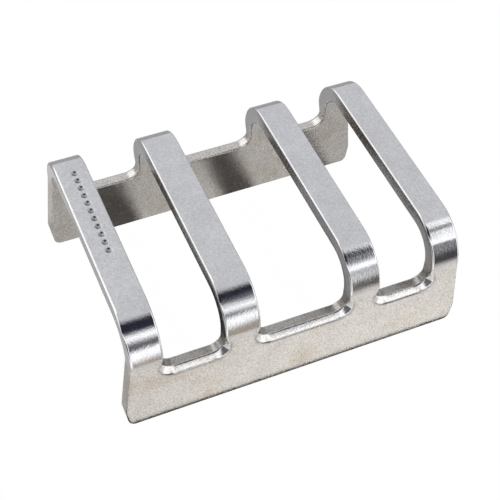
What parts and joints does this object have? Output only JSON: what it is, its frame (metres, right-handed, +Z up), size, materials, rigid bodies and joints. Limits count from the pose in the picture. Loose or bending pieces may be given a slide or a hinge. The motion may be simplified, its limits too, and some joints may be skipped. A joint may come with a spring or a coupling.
{
  "type": "toast rack",
  "caption": "Low open rack stamped from one sheet of bright steel: cross bars between round-cornered windows, with both long sides folded down into slightly flared flanges to stand on.",
  "frame": {"origin": "centre of the footprint, on the surface that the two flanges stand on", "axes": "+X along the rack and its flanges, +Y across it from the front flange to the back one, +Z up"},
  "size_m": [0.0522, 0.0384, 0.02],
  "materials": {
    "bright_steel": "bright nickel-plated or polished steel with a fine tumbled grain; satin on the flat faces, mirror-like round the folds"
  },
  "bodies": {
    "root": {"slotted_frame": "bright_steel"}
  },
  "joints": []
}
